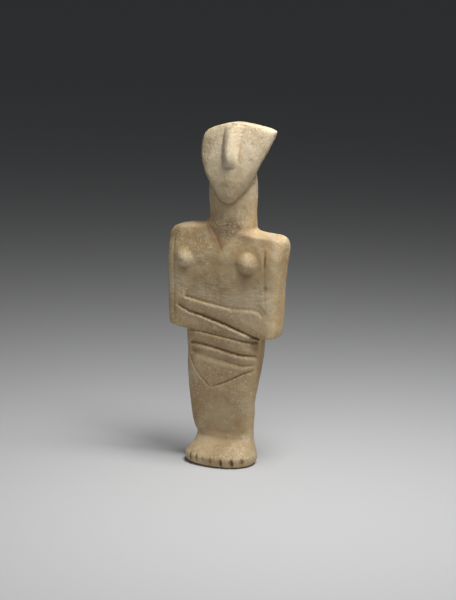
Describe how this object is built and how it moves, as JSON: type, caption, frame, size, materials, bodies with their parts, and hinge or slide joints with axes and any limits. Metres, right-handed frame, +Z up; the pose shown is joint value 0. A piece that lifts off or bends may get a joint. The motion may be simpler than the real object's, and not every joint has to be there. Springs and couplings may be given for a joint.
{
  "type": "cycladic figurine",
  "caption": "Standing marble figure, slab-like, with folded arms, a shield-shaped face with a ridge nose, incised folds and a flared foot",
  "frame": {"origin": "middle of the flat sole of the foot, on the surface the figure stands on", "axes": "+Z up along the figure from sole to crown; -Y the way the face and the toes point; +X to the figure's left hand"},
  "size_m": [0.0828, 0.0357, 0.2184],
  "materials": {
    "marble": "smoothed marble, worn and lightly pitted, warm cream with a tan patina and brown dirt in the cuts"
  },
  "bodies": {
    "root": {"marble_figure": "marble"}
  },
  "joints": []
}
